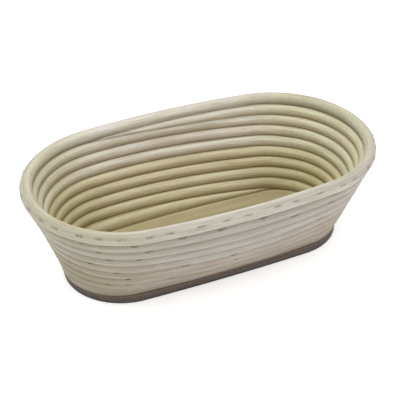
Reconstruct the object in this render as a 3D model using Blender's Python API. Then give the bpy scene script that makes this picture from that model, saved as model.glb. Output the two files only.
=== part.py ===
"""Oval banneton basket: a coil of round rattan cane on a flat wooden base plate.

The wall is one spiral of eight turns, made of two cane lengths that meet in a glued scarf. Its two
ends are long tapers, so the coil starts flat on the plate and ends flat under a separate closed rim.
Staples hold the rim to the coil, and nails driven from below hold the coil to the plate.
Metres, +Z up, +X along the basket; the origin is under the middle of the plate, on its lower face.
"""

import math

import bmesh
import bpy
from mathutils import Matrix, Vector

# Plan of the rim's centreline and of the lowest turn's: an oval of four tangent arcs.
RIM_HALF_LENGTH = 0.135
RIM_HALF_WIDTH = 0.0756
RIM_END_RADIUS = 0.0719
FOOT_HALF_LENGTH = 0.1108
FOOT_HALF_WIDTH = 0.0452
FOOT_END_RADIUS = 0.0422
# How far each size runs ahead of an even step from foot to rim: a plus bellies the wall outwards.
LENGTH_BELLY = -0.16
WIDTH_BELLY = 0.59
RADIUS_BELLY = 0.27

TURNS = 8
CANE_DIAMETER = 0.00845
RIM_DIAMETER = 0.0093
GAP = 0.0003

PLATE_THICKNESS = 0.0063
PLATE_MARGIN = 0.0025
PLATE_HALF_LENGTH = FOOT_HALF_LENGTH + PLATE_MARGIN
PLATE_HALF_WIDTH = FOOT_HALF_WIDTH + PLATE_MARGIN
PLATE_END_RADIUS = 0.0464
PLATE_EDGE_ROUND = 0.0008

# The coil climbs one cane along the back, running towards -X between these two places on its
# middle turn: steeply at first, and then easing off.
MIDDLE_TURN = 4
RAMP_START_X = 0.100
RAMP_END_X = -0.068
RAMP_EASE_IN = 1.15
RAMP_EASE_OUT = 1.75
TAPER_TIP_THICKNESS = 0.0007

# The glued joint between the two wall lengths, counted in turns from the start of the ramp.
SCARF_TURN = 4.58
SCARF_LENGTH = 0.030
SCARF_RUN_IN = 0.045

RIM_STAPLES = 42
STAPLE_ANGLE = math.radians(50)
STAPLE_CROWN = 0.0055
STAPLE_WIRE = 0.0007
STAPLE_LEG = 0.0130
STAPLE_PROUD = 0.0003
STAPLE_DRIFT = 0.0018
LEAST_TAPER_TO_STAPLE = 0.0012

PLATE_NAILS = 12
NAIL_SHANK = 0.0016
NAIL_HEAD = 0.0040
NAIL_HEAD_THICKNESS = 0.0008
NAIL_SUNK = 0.0003
NAIL_TIP_Z = 0.0115
NAIL_INSET = 0.0010

# How far a hidden cutter stands out of the piece it bores.
CUTTER_REACH = 0.002

# Each quarter of the oval is cut into this many steps on its end arc and on its side arc.
END_STEPS = 9
SIDE_STEPS = 5
CANE_SIDES = 8
NAIL_SIDES = 8
STEPS = 4 * (END_STEPS + SIDE_STEPS)
PITCH = CANE_DIAMETER + GAP
RIM_PITCH = (CANE_DIAMETER + RIM_DIAMETER) / 2 + GAP


def oval_point(half_length, half_width, end_radius, step):
    """Place and outward normal at a whole step round the oval, counted from +X towards +Y."""
    quarter_steps = END_STEPS + SIDE_STEPS
    quarter, along = divmod(step % STEPS, quarter_steps)
    if quarter % 2:
        along = quarter_steps - along
    end_x = half_length - end_radius
    side_radius = (end_x**2 + half_width**2 - end_radius**2) / (2 * (half_width - end_radius))
    side_y = half_width - side_radius
    meet = math.atan2(-side_y, end_x)
    if along <= END_STEPS:
        angle = meet * along / END_STEPS
        x = end_x + end_radius * math.cos(angle)
        y = end_radius * math.sin(angle)
    else:
        angle = meet + (math.pi / 2 - meet) * (along - END_STEPS) / SIDE_STEPS
        x = side_radius * math.cos(angle)
        y = side_y + side_radius * math.sin(angle)
    sign_x = -1 if quarter in (1, 2) else 1
    sign_y = -1 if quarter in (2, 3) else 1
    return (
        Vector((sign_x * x, sign_y * y, 0)),
        Vector((sign_x * math.cos(angle), sign_y * math.sin(angle), 0)),
    )


def level_sizes(level):
    """Half length, half width and end radius of a turn's centreline."""
    share = level / TURNS
    belly = share * (1 - share)

    def between(foot, rim, bulge):
        return foot + (rim - foot) * (share + bulge * belly)

    return (
        between(FOOT_HALF_LENGTH, RIM_HALF_LENGTH, LENGTH_BELLY),
        between(FOOT_HALF_WIDTH, RIM_HALF_WIDTH, WIDTH_BELLY),
        between(FOOT_END_RADIUS, RIM_END_RADIUS, RADIUS_BELLY),
    )


def stacked_turns():
    """Centreline points of the turns and the rim, each stacked on the one below, under a level rim."""
    turns = []
    for level in range(TURNS + 1):
        spacing = PITCH if level < TURNS else RIM_PITCH
        points = []
        for step in range(STEPS):
            point, normal = oval_point(*level_sizes(level), step)
            if level == 0:
                point.z = PLATE_THICKNESS + GAP + CANE_DIAMETER / 2
            else:
                below = turns[-1][step]
                outwards = (point - below).dot(normal)
                point.z = below.z + math.sqrt(spacing**2 - outwards**2)
            points.append(point)
        turns.append(points)
    rim_z = max(point.z for point in turns[-1])
    for column in zip(*turns):
        foot_z = column[0].z
        stretch = (rim_z - foot_z) / (column[-1].z - foot_z)
        for point in column:
            point.z = foot_z + (point.z - foot_z) * stretch
    return turns


TURN_POINTS = stacked_turns()


def steps_to_x(x):
    """Where the middle turn's back side is at this x, in steps round the oval."""
    for step in range(STEPS // 2):
        here, after = TURN_POINTS[MIDDLE_TURN][step].x, TURN_POINTS[MIDDLE_TURN][step + 1].x
        if after <= x <= here:
            return step + (here - x) / (here - after)
    raise ValueError("x is off the end of the basket")


RAMP_START = steps_to_x(RAMP_START_X)
RAMP_END = steps_to_x(RAMP_END_X)


def climb(step):
    """How much of the climb from one turn to the next is behind this step: 0 to 1."""
    if not RAMP_START < step < RAMP_END:
        return 0 if step <= RAMP_START else 1
    first = math.floor(step)
    here, after = TURN_POINTS[MIDDLE_TURN][first].x, TURN_POINTS[MIDDLE_TURN][first + 1].x
    x = here + (after - here) * (step - first)
    share = (RAMP_START_X - x) / (RAMP_START_X - RAMP_END_X)
    return 1 - (1 - share**RAMP_EASE_IN) ** RAMP_EASE_OUT


def step_of_climb(wanted):
    """The step on the ramp where the climb reaches a share."""
    low, high = RAMP_START, RAMP_END
    for _ in range(40):
        middle = (low + high) / 2
        if climb(middle) < wanted:
            low = middle
        else:
            high = middle
    return low


def centre_at(step, level):
    """Centreline place at any step and level, straight between the whole ones."""
    lower = min(int(level), TURNS - 1)
    above = level - lower
    if lower == TURNS - 1:
        # Above the last turn the levels stay a cane apart, so that a taper meets the rim's underside.
        above *= PITCH / RIM_PITCH
    first = math.floor(step)
    part = step - first

    def at(whole_step):
        whole_step %= STEPS
        return TURN_POINTS[lower][whole_step].lerp(TURN_POINTS[lower + 1][whole_step], above)

    return at(first).lerp(at(first + 1), part)


def frame_at(step, level):
    """The cane's own directions: along, outwards and up the wall."""
    first = math.floor(step)
    sizes = level_sizes(level)
    normal = oval_point(*sizes, first)[1].lerp(oval_point(*sizes, first + 1)[1], step - first)
    along = Vector((-normal.y, normal.x, 0)).normalized()
    outwards = along.cross(rise_at(step, level)).normalized()
    return along, outwards, outwards.cross(along)


def rise_at(step, level):
    """The way from one turn's centre to the next one's."""
    low = min(max(level - 0.5, 0), TURNS - 2)
    return centre_at(step, low + 1) - centre_at(step, low)


def ring(step, level, width, height):
    """One cross-section of a cane: this width and height about its centre, filling the stack."""
    centre = centre_at(step, level)
    _, outwards, up = frame_at(step, level)
    height *= rise_at(step, level).length / PITCH
    points = []
    for side in range(CANE_SIDES):
        angle = 2 * math.pi * side / CANE_SIDES
        across = outwards * (math.cos(angle) * width / 2)
        point = centre + across + up * (math.sin(angle) * height / 2)
        # The taper at the foot is cut flat underneath, so it lies on the plate.
        point.z = max(point.z, PLATE_THICKNESS + GAP)
        points.append(point)
    return points


def tube(name, rings, closed, colour, roughness):
    """A mesh object skinned over rings of points, capped unless it closes on itself."""
    mesh = bmesh.new()
    rows = [[mesh.verts.new(point) for point in points] for points in rings]
    pairs = list(zip(rows, rows[1:]))
    if closed:
        pairs.append((rows[-1], rows[0]))
    for near, far in pairs:
        for side in range(CANE_SIDES):
            other = (side + 1) % CANE_SIDES
            mesh.faces.new((near[side], near[other], far[other], far[side]))
    if not closed:
        for row in (rows[0], rows[-1]):
            cap_with_fan(mesh, row)
    bmesh.ops.recalc_face_normals(mesh, faces=mesh.faces)
    return finished(name, mesh, colour, roughness, metallic=0.0)


def cap_with_fan(mesh, row):
    """Closes a tube's end with triangles about its middle, so that two matching cuts stay parallel."""
    middle = mesh.verts.new(sum((vert.co for vert in row), Vector()) / len(row))
    for near, far in zip(row, row[1:] + row[:1]):
        mesh.faces.new((near, far, middle))


def finished(name, mesh, colour, roughness, metallic, smooth=True):
    """Turns a bmesh into a named object with its own material, under the basket's empty."""
    data = bpy.data.meshes.new(name)
    mesh.to_mesh(data)
    mesh.free()
    if smooth:
        data.shade_smooth()
        data.set_sharp_from_angle(angle=math.radians(50))
    material = bpy.data.materials.new(name)
    material.use_nodes = True
    shader = material.node_tree.nodes["Principled BSDF"]
    shader.inputs["Base Color"].default_value = (*colour, 1)
    shader.inputs["Roughness"].default_value = roughness
    shader.inputs["Metallic"].default_value = metallic
    data.materials.append(material)
    piece = bpy.data.objects.new(name, data)
    bpy.context.scene.collection.objects.link(piece)
    piece.parent = BASKET
    return piece


def spiral_level(place):
    """Level of the coil's centreline at a place counted in steps from the start of the ramp."""
    turn, step = divmod(place, STEPS)
    return turn - 1 + climb(step + RAMP_START)


def taper_width(height):
    """Width left on a round cane when a slanting cut leaves this height."""
    return CANE_DIAMETER * math.sqrt(1 - (1 - height / CANE_DIAMETER) ** 2)


def coil_ring(place):
    """Cross-section of the coil, thinned to a taper over its first and its last ramp."""
    level = spiral_level(place)
    height = CANE_DIAMETER
    if level < 0:
        height = (level + 1) * PITCH - GAP
        level = level / 2
    elif level > TURNS - 1:
        height = (TURNS - level) * PITCH - GAP
        level = (level + TURNS - 1) / 2
    return ring(place + RAMP_START, level, taper_width(height), height)


def scarf_ring(place, cut_place, side):
    """A ring near the glued joint, sheared so that the last one lies on the slanting cut."""
    run_in = SCARF_RUN_IN / STEP_LENGTH
    share = max(0, 1 - abs(place - cut_place) / run_in)
    points = coil_ring(place)
    slant = SCARF_LENGTH / CANE_DIAMETER
    half_gap = GAP / 2 * slant
    shear = share * slant
    level = spiral_level(place)
    along, outwards, _ = frame_at(place + RAMP_START, level)
    centre = centre_at(place + RAMP_START, level)
    sheared = []
    for point in points:
        offset = (point - centre).dot(outwards) * shear
        moved = coil_ring(place + offset / STEP_LENGTH)
        sheared.append(moved[points.index(point)] + along * (side * half_gap * share))
    return sheared


def whole_places(first, last):
    """The first place, the whole steps between, and the last place."""
    margin = 0.25
    grid_start = math.ceil(first + RAMP_START + margin)
    grid_end = math.floor(last + RAMP_START - margin)
    return [first, *(step - RAMP_START for step in range(grid_start, grid_end + 1)), last]


STEP_LENGTH = (TURN_POINTS[4][1] - TURN_POINTS[4][0]).length
TAPER_TIP_CLIMB = (TAPER_TIP_THICKNESS + GAP) / PITCH
COIL_START = step_of_climb(TAPER_TIP_CLIMB) - RAMP_START
COIL_END = TURNS * STEPS + step_of_climb(1 - TAPER_TIP_CLIMB) - RAMP_START
SCARF_PLACE = SCARF_TURN * STEPS


def build_wall():
    """The coil's two cane lengths."""
    lower = [scarf_ring(place, SCARF_PLACE, -1) for place in whole_places(COIL_START, SCARF_PLACE)]
    upper = [scarf_ring(place, SCARF_PLACE, 1) for place in whole_places(SCARF_PLACE, COIL_END)]
    return (
        tube("wall_cane_lower", lower, False, (0.60, 0.50, 0.33), 0.62),
        tube("wall_cane_upper", upper, False, (0.64, 0.56, 0.44), 0.62),
    )


def rim_spot(step):
    """Centre and directions of the rim at a step."""
    first = math.floor(step)
    part = step - first
    centre = TURN_POINTS[TURNS][first % STEPS].lerp(TURN_POINTS[TURNS][(first + 1) % STEPS], part)
    return centre, *frame_at(step, TURNS - 0.5)


def build_rim():
    """The closed ring of thicker cane on top."""
    rings = []
    for step in range(STEPS):
        centre = TURN_POINTS[TURNS][step]
        _, outwards = oval_point(*level_sizes(TURNS), step)
        points = []
        for side in range(CANE_SIDES):
            angle = 2 * math.pi * side / CANE_SIDES
            arm = outwards * math.cos(angle) + Vector((0, 0, math.sin(angle)))
            points.append(centre + arm * RIM_DIAMETER / 2)
        rings.append(points)
    return tube("rim_cane", rings, True, (0.66, 0.59, 0.47), 0.60)


def build_plate():
    """The flat oval base with its corners eased."""
    mesh = bmesh.new()
    outline = []
    for step in range(STEPS):
        point, _ = oval_point(PLATE_HALF_LENGTH, PLATE_HALF_WIDTH, PLATE_END_RADIUS, step)
        outline.append(mesh.verts.new(point))
    face = mesh.faces.new(outline)
    grown = bmesh.ops.extrude_face_region(mesh, geom=[face])
    top = [item for item in grown["geom"] if isinstance(item, bmesh.types.BMVert)]
    bmesh.ops.translate(mesh, verts=top, vec=(0, 0, PLATE_THICKNESS))
    rims = [edge for edge in mesh.edges if edge.verts[0].co.z == edge.verts[1].co.z]
    bmesh.ops.bevel(mesh, geom=rims, offset=PLATE_EDGE_ROUND, segments=1, affect="EDGES")
    bmesh.ops.recalc_face_normals(mesh, faces=mesh.faces)
    return finished("base_plate", mesh, (0.42, 0.34, 0.23), 0.70, metallic=0.0)


def staple_places():
    """Where each rim staple sits: along, across and back out of the cane, from its crown's middle."""
    spots = []
    for number in range(RIM_STAPLES):
        drift = STAPLE_DRIFT * math.sin(number * 2.4) / STEP_LENGTH
        step = STEPS * (number + 0.5) / RIM_STAPLES + drift
        taper = (1 - climb(step)) * PITCH
        if 0 < taper < LEAST_TAPER_TO_STAPLE:
            continue
        centre, along, outwards, up = rim_spot(step)
        below = centre_at(step, TURNS - 1)
        arm = outwards * math.cos(STAPLE_ANGLE) + up * math.sin(STAPLE_ANGLE)
        crown = centre + arm * (RIM_DIAMETER / 2 + STAPLE_PROUD)
        back = (crown - below).normalized()
        spots.append(Matrix.Translation(crown) @ upright(along, back))
    return spots


def upright(along, back):
    """Rotation whose x runs along the cane and whose z points back out of the hole."""
    back = (back - along * back.dot(along)).normalized()
    return Matrix((along, back.cross(along), back)).transposed().to_4x4()


def staple_mesh():
    """A staple as one bent wire: the crown's outer face on z = 0, its legs down -z."""
    half, wire = STAPLE_CROWN / 2, STAPLE_WIRE
    profile = (
        (-half, 0),
        (-half, -STAPLE_LEG),
        (wire - half, -STAPLE_LEG),
        (wire - half, -wire),
        (half - wire, -wire),
        (half - wire, -STAPLE_LEG),
        (half, -STAPLE_LEG),
        (half, 0),
    )
    mesh = bmesh.new()
    face = mesh.faces.new([mesh.verts.new((x, -wire / 2, z)) for x, z in profile])
    grown = bmesh.ops.extrude_face_region(mesh, geom=[face])
    far = [item for item in grown["geom"] if isinstance(item, bmesh.types.BMVert)]
    bmesh.ops.translate(mesh, verts=far, vec=(0, wire, 0))
    bmesh.ops.recalc_face_normals(mesh, faces=mesh.faces)
    return mesh


def build_staples(spots):
    """The staples, each its own piece."""
    for number, spot in enumerate(spots, 1):
        name = f"rim_staple_{number:02d}"
        staple = finished(name, staple_mesh(), (0.30, 0.28, 0.26), 0.45, metallic=1.0, smooth=False)
        staple.matrix_world = spot


def nail_rings(mesh, x, y, radii_and_heights):
    """A stepped round pin through the given radii and heights, closed at both ends."""
    rows = []
    for radius, z in radii_and_heights:
        row = []
        for side in range(NAIL_SIDES):
            angle = 2 * math.pi * side / NAIL_SIDES
            place = (x + radius * math.cos(angle), y + radius * math.sin(angle), z)
            row.append(mesh.verts.new(place))
        rows.append(row)
    for near, far in zip(rows, rows[1:]):
        for side in range(NAIL_SIDES):
            other = (side + 1) % NAIL_SIDES
            mesh.faces.new((near[side], near[other], far[other], far[side]))
    mesh.faces.new(reversed(rows[0]))
    mesh.faces.new(rows[-1])


def nail_places():
    """Evenly spaced along the part of the lowest turn that has its full thickness."""
    first = RAMP_END + 1
    span = STEPS + RAMP_START - 1 - first
    steps = [first + span * (number + 0.5) / PLATE_NAILS for number in range(PLATE_NAILS)]
    return [centre_at(step, 0) - frame_at(step, 0)[1] * NAIL_INSET for step in steps]


def build_nails(places):
    """Flat-headed nails from the plate's underside into the lowest turn."""
    head, shank = NAIL_HEAD / 2, NAIL_SHANK / 2
    under_head = NAIL_SUNK + NAIL_HEAD_THICKNESS
    for number, place in enumerate(places, 1):
        mesh = bmesh.new()
        outline = ((head, NAIL_SUNK), (head, under_head), (shank, under_head), (shank, NAIL_TIP_Z))
        nail_rings(mesh, 0, 0, outline)
        name = f"plate_nail_{number:02d}"
        nail = finished(name, mesh, (0.32, 0.30, 0.28), 0.45, metallic=1.0)
        nail.location = (place.x, place.y, 0)


def cutter(name, mesh):
    """A hidden shape that bores the canes and the plate."""
    data = bpy.data.meshes.new(name)
    bmesh.ops.recalc_face_normals(mesh, faces=mesh.faces)
    mesh.to_mesh(data)
    mesh.free()
    piece = bpy.data.objects.new(name, data)
    bpy.context.scene.collection.objects.link(piece)
    piece.hide_render = True
    piece.display_type = "WIRE"
    return piece


def staple_slots(spots):
    """One slot a staple, from the open air down past the ends of its legs."""
    mesh = bmesh.new()
    depth = STAPLE_LEG + GAP
    size = (STAPLE_CROWN + 2 * GAP, STAPLE_WIRE + 2 * GAP, depth + CUTTER_REACH)
    middle = Matrix.Translation((0, 0, (CUTTER_REACH - depth) / 2))
    for spot in spots:
        bmesh.ops.create_cube(mesh, size=1, matrix=spot @ middle @ Matrix.Diagonal((*size, 1)))
    return cutter("staple_slots", mesh)


def nail_bores(places):
    """One stepped bore a nail, open at the plate's underside."""
    mesh = bmesh.new()
    head, shank = NAIL_HEAD / 2 + GAP, NAIL_SHANK / 2 + GAP
    step_z = NAIL_SUNK + NAIL_HEAD_THICKNESS + GAP
    outline = ((head, -CUTTER_REACH), (head, step_z), (shank, step_z), (shank, NAIL_TIP_Z + GAP))
    for place in places:
        nail_rings(mesh, place.x, place.y, outline)
    return cutter("nail_bores", mesh)


def bore(piece, cutting):
    """Takes the cutter's shape out of a piece."""
    modifier = piece.modifiers.new("bores", "BOOLEAN")
    modifier.operation = "DIFFERENCE"
    modifier.solver = "EXACT"
    modifier.object = cutting


for leftover in list(bpy.data.objects):
    bpy.data.objects.remove(leftover, do_unlink=True)

BASKET = bpy.data.objects.new("banneton_basket", None)
bpy.context.scene.collection.objects.link(BASKET)

plate = build_plate()
lower_cane, upper_cane = build_wall()
rim = build_rim()
staple_spots = staple_places()
build_staples(staple_spots)
nail_spots = nail_places()
build_nails(nail_spots)

slots = staple_slots(staple_spots)
bore(rim, slots)
bore(upper_cane, slots)
bores = nail_bores(nail_spots)
bore(plate, bores)
bore(lower_cane, bores)
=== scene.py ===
"""Looks of an oval banneton basket: coiled canes, staples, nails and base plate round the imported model.

Metres, +Z up, +X along the basket. The canes are skinned along rails by one geometry node tree, and
the staples and nails are set out by another; their finishes are built from shared shader groups.
"""

import math
import random

import bmesh
import bpy
from mathutils import Matrix, Vector


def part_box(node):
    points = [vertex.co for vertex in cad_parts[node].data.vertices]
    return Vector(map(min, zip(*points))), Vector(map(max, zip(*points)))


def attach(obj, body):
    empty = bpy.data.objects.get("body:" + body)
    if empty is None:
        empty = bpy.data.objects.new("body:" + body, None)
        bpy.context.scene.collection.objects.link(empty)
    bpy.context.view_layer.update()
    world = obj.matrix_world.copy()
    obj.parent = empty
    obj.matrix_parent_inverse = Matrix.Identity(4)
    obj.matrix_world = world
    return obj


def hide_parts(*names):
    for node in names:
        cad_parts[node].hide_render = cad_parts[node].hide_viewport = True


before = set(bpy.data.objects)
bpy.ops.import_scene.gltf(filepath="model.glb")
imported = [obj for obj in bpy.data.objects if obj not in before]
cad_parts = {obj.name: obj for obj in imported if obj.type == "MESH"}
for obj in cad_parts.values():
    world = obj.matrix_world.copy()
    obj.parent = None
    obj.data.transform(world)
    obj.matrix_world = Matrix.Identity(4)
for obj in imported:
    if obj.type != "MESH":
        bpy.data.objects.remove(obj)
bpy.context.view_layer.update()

# Plan of the rim's centreline and of the lowest turn's: an oval of four tangent arcs.
RIM_SIZES = (0.135, 0.0756, 0.0719)
FOOT_SIZES = (0.1108, 0.0452, 0.0422)
BELLIES = (-0.16, 0.59, 0.27)

TURNS = 8
CANE_DIAMETER = 0.00845
RIM_DIAMETER = 0.0093
GAP = 0.0003
PITCH = CANE_DIAMETER + GAP
RIM_PITCH = (CANE_DIAMETER + RIM_DIAMETER) / 2 + GAP

PLATE_THICKNESS = 0.0063
PLATE_SIZES = (0.1133, 0.0477, 0.0464)
PLATE_EDGE_ROUND = 0.0009
COUNTERSINK_RADIUS = 0.0024
COUNTERSINK_TAPER = 0.0002
COUNTERSINK_DEPTH = 0.0012
# The board's top is stained from this far off its middle line, and that line ends at this x.
STAIN_FROM = 0.0440
PLATE_END_X = PLATE_SIZES[0] - PLATE_SIZES[2]

# The coil climbs one cane along the back between these two places on its middle turn.
MIDDLE_TURN = 4
RAMP_START_X = 0.100
RAMP_END_X = -0.068
RAMP_EASE_IN = 1.15
RAMP_EASE_OUT = 1.75
TAPER_TIP_THICKNESS = 0.0007
SEARCH_HALVINGS = 40

SCARF_TURN = 4.58
SCARF_SLANT = 0.030 / CANE_DIAMETER
SCARF_RUN_IN = 0.045
RIM_SCARF_STEP_SHARE = 0.21

RIM_STAPLES = 42
STAPLE_ANGLE = math.radians(50)
STAPLE_CROWN = 0.0055
STAPLE_LEG = 0.0130
STAPLE_PROUD = 0.0003
STAPLE_THICKNESS = 0.0006
STAPLE_DRIFT = 0.0018
STAPLE_DRIFT_TURN = 2.4
DRIFT_STEP = 0.00262
LEAST_TAPER_TO_STAPLE = 0.0012

# Staples in the wall: places in turns and steps along the coil, angles in degrees round the cane.
WALL_STAPLE_SEED = 7
FIRST_WALL_STAPLE = 1.02
BARE_STEPS_AT_END = 40
WALL_STAPLE_SPACING = (7.0, 13.0)
SHOWING_STAPLES = 0.45
SHOWING_ANGLES = (54, 64)
HIDDEN_ANGLE = 84

# Steps round one turn: each quarter has an end arc and a side arc.
END_STEPS = 36
SIDE_STEPS = 20
QUARTER_STEPS = END_STEPS + SIDE_STEPS
STEPS = 4 * QUARTER_STEPS
BEND_EASE_STEPS = 12
CANE_SIDES = 24
RIM_SIDES = 32

# The canes press into each other, so that they show no gaps.
HEIGHT_FILL = 1.12
WIDTH_FILL = 1.012
RIM_HEIGHT_FILL = 1.06
# How far a staple's crown is from the cane's centre.
RIM_CROWN_RADIUS = RIM_DIAMETER / 2 + STAPLE_PROUD * 0.3
WALL_CROWN_RADIUS = CANE_DIAMETER / 2 * WIDTH_FILL + STAPLE_PROUD * 0.4
# The first turn is pressed this deep on to the board, easing off to this place, in turns.
FOOT_PRESS = 0.0011
FOOT_PRESS_END = 1.1
FOOT_PRESS_EASE = 0.3


# ---------------- the coil's path


def within(value, low=0, high=1):
    return min(max(value, low), high)


def oval_point(sizes, step):
    """Place and outward normal at a whole step round the oval, counted from +X towards +Y."""
    half_length, half_width, end_radius = sizes
    quarter, along = divmod(step % STEPS, QUARTER_STEPS)
    if quarter % 2:
        along = QUARTER_STEPS - along
    end_x = half_length - end_radius
    side_radius = (end_x**2 + half_width**2 - end_radius**2) / (2 * (half_width - end_radius))
    side_y = half_width - side_radius
    meet = math.atan2(-side_y, end_x)
    if along <= END_STEPS:
        angle = meet * along / END_STEPS
        x = end_x + end_radius * math.cos(angle)
        y = end_radius * math.sin(angle)
    else:
        angle = meet + (math.pi / 2 - meet) * (along - END_STEPS) / SIDE_STEPS
        x = side_radius * math.cos(angle)
        y = side_y + side_radius * math.sin(angle)
    sign_x = -1 if quarter in (1, 2) else 1
    sign_y = -1 if quarter in (2, 3) else 1
    return (
        Vector((sign_x * x, sign_y * y, 0)),
        Vector((sign_x * math.cos(angle), sign_y * math.sin(angle), 0)),
    )


def level_sizes(level):
    """Half length, half width and end radius of a turn's centreline."""
    share = level / TURNS
    return [
        foot + (rim - foot) * (share + bulge * share * (1 - share))
        for foot, rim, bulge in zip(FOOT_SIZES, RIM_SIZES, BELLIES)
    ]


def stacked_turns():
    """Centreline points of the turns and the rim, each stacked on the one below, under a level rim."""
    turns = []
    for level in range(TURNS + 1):
        spacing = PITCH if level < TURNS else RIM_PITCH
        points = []
        for step in range(STEPS):
            point, normal = oval_point(level_sizes(level), step)
            if level == 0:
                point.z = PLATE_THICKNESS + GAP + CANE_DIAMETER / 2
            else:
                below = turns[-1][step]
                outwards = (point - below).dot(normal)
                point.z = below.z + math.sqrt(spacing**2 - outwards**2)
            points.append(point)
        turns.append(points)
    rim_z = max(point.z for point in turns[-1])
    for column in zip(*turns):
        foot_z = column[0].z
        stretch = (rim_z - foot_z) / (column[-1].z - foot_z)
        for point in column:
            point.z = foot_z + (point.z - foot_z) * stretch
    return turns


TURN_POINTS = stacked_turns()
STEP_LENGTH = (TURN_POINTS[4][1] - TURN_POINTS[4][0]).length


def steps_to_x(x):
    """Where the middle turn's back side is at this x, in steps round the oval."""
    for step in range(STEPS // 2):
        here, after = TURN_POINTS[MIDDLE_TURN][step].x, TURN_POINTS[MIDDLE_TURN][step + 1].x
        if after <= x <= here:
            return step + (here - x) / (here - after)
    raise ValueError("x is off the end of the basket")


RAMP_START = steps_to_x(RAMP_START_X)
RAMP_END = steps_to_x(RAMP_END_X)


def climb(step):
    """How much of the climb from one turn to the next is behind this step: 0 to 1."""
    if not RAMP_START < step < RAMP_END:
        return 0 if step <= RAMP_START else 1
    first = math.floor(step)
    here, after = TURN_POINTS[MIDDLE_TURN][first].x, TURN_POINTS[MIDDLE_TURN][first + 1].x
    x = here + (after - here) * (step - first)
    share = (RAMP_START_X - x) / (RAMP_START_X - RAMP_END_X)
    return 1 - (1 - share**RAMP_EASE_IN) ** RAMP_EASE_OUT


def step_of_climb(wanted):
    """The step on the ramp where the climb reaches a share."""
    low, high = RAMP_START, RAMP_END
    for _ in range(SEARCH_HALVINGS):
        middle = (low + high) / 2
        low, high = (middle, high) if climb(middle) < wanted else (low, middle)
    return low


def centre_at(step, level):
    """Centreline place at any step and level, straight between the whole ones."""
    lower = min(int(level), TURNS - 1)
    above = level - lower
    if lower == TURNS - 1:
        # Above the last turn the levels stay a cane apart, so that a taper meets the rim's underside.
        above *= PITCH / RIM_PITCH
    first = math.floor(step)

    def at(whole_step):
        column = whole_step % STEPS
        return TURN_POINTS[lower][column].lerp(TURN_POINTS[lower + 1][column], above)

    return at(first).lerp(at(first + 1), step - first)


def rise_at(step, level):
    """The way from one turn's centre to the next one's."""
    low = within(level - 0.5, 0, TURNS - 2)
    return centre_at(step, low + 1) - centre_at(step, low)


def frame_at(step, level):
    """The cane's own directions: along, outwards and up the wall."""
    first = math.floor(step)
    sizes = level_sizes(level)
    normal = oval_point(sizes, first)[1].lerp(oval_point(sizes, first + 1)[1], step - first)
    along = Vector((-normal.y, normal.x, 0)).normalized()
    outwards = along.cross(rise_at(step, level)).normalized()
    return along, outwards, outwards.cross(along)


def spiral_level(place):
    """Level of the coil's centreline at a place counted in steps from the start of the ramp."""
    turn, step = divmod(place, STEPS)
    return turn - 1 + climb(step + RAMP_START)


def taper_width(height):
    """Width left on a round cane when a slanting cut leaves this height."""
    return CANE_DIAMETER * math.sqrt(1 - (1 - min(height / CANE_DIAMETER, 1)) ** 2)


def bend_at(step):
    """1 where the path goes round an end of the basket and 0 along its sides, eased between."""
    along = step % (2 * QUARTER_STEPS)
    along = min(along, 2 * QUARTER_STEPS - along)
    share = within((END_STEPS + BEND_EASE_STEPS / 2 - along) / BEND_EASE_STEPS)
    return share * share * (3 - 2 * share)


TAPER_TIP_CLIMB = (TAPER_TIP_THICKNESS + GAP) / PITCH
COIL_START = step_of_climb(TAPER_TIP_CLIMB) - RAMP_START
COIL_END = TURNS * STEPS + step_of_climb(1 - TAPER_TIP_CLIMB) - RAMP_START
SCARF_PLACE = SCARF_TURN * STEPS

# The worn upper taper runs on past the coil's end, taller than its room. Where it stands this much
# over its room (the two values named PAST), it is laid inwards and flattened in full.
UPPER_TAPER_OVERRUN = 0.025
UPPER_TAPER_LENGTH = 0.120
UPPER_TAPER_TIP = 0.015
UPPER_TAPER_BLUNTNESS = 3
UPPER_TAPER_INWARD = 0.0011
INWARD_PAST = 0.0012
UPPER_TAPER_FLATNESS = 0.04
FLAT_PAST = 0.003
LAID_OVER_TO_DROP = 6
UPPER_TAPER_END = COIL_END + UPPER_TAPER_OVERRUN / STEP_LENGTH


# ---------------- staple places


def rim_frame(step):
    """Centre and directions of the rim at a step."""
    first = math.floor(step)
    here, after = TURN_POINTS[TURNS][first % STEPS], TURN_POINTS[TURNS][(first + 1) % STEPS]
    return here.lerp(after, step - first), *frame_at(step, TURNS - 0.5)


def staple_seat(centre, along, outwards, up, angle, radius, towards):
    """Crown middle, cane direction and way out of the cane of a staple driven towards a point."""
    crown = centre + (outwards * math.cos(angle) + up * math.sin(angle)) * radius
    back = crown - towards
    back = (back - along * back.dot(along)).normalized()
    return crown, along, back


def rim_staple_steps():
    """The steps of the rim's staples, with none over the thin end of the coil's taper."""
    steps = []
    for number in range(RIM_STAPLES):
        drift = STAPLE_DRIFT * math.sin(number * STAPLE_DRIFT_TURN) / DRIFT_STEP
        step = STEPS * (number + 0.5) / RIM_STAPLES + drift
        if not 0 < (1 - climb(step)) * PITCH < LEAST_TAPER_TO_STAPLE:
            steps.append(step)
    return steps


def wall_staples_along():
    """Place and angle of each turn's staples into the one below, and whether it shows in the seam."""
    dice = random.Random(WALL_STAPLE_SEED)
    found, place = [], STEPS * FIRST_WALL_STAPLE
    while place < COIL_END - BARE_STEPS_AT_END:
        shows = dice.random() < SHOWING_STAPLES
        angle = dice.uniform(*SHOWING_ANGLES) if shows else HIDDEN_ANGLE
        found.append((place, math.radians(angle), shows))
        place += dice.uniform(*WALL_STAPLE_SPACING)
    return found


RIM_STAPLE_STEPS = rim_staple_steps()
WALL_STAPLES = wall_staples_along()
SHOWING_PLACES = [place for place, _, shows in WALL_STAPLES if shows]


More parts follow.
